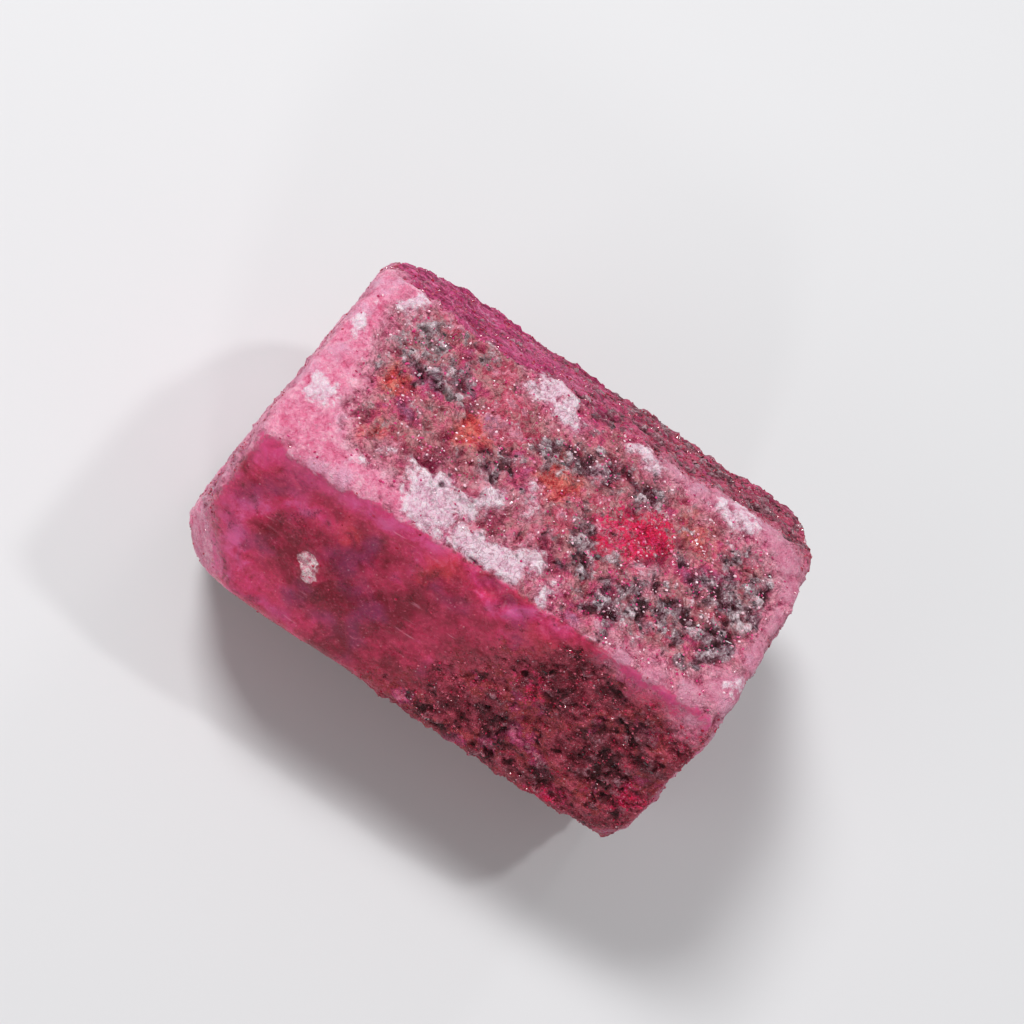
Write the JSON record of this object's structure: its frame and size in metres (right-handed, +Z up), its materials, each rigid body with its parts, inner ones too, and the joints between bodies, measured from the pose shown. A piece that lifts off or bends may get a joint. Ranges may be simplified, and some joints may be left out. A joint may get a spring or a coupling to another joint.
{
  "type": "raw ruby crystal",
  "caption": "Single rough ruby crystal, a worn six-sided barrel broken off at both ends, lying on one prism face.",
  "frame": {"origin": "middle of the crystal's box, on the plane of the face it rests on", "axes": "+Z up, +X along the crystal's long axis towards its squarer end, -Y towards the side with the glossy face"},
  "size_m": [0.0388, 0.03, 0.0264],
  "materials": {
    "ruby": "glossy translucent magenta ruby on one side, elsewhere rough, with dark mica, white frosting and rust stains"
  },
  "bodies": {
    "root": {"ruby_crystal": "ruby"}
  },
  "joints": []
}
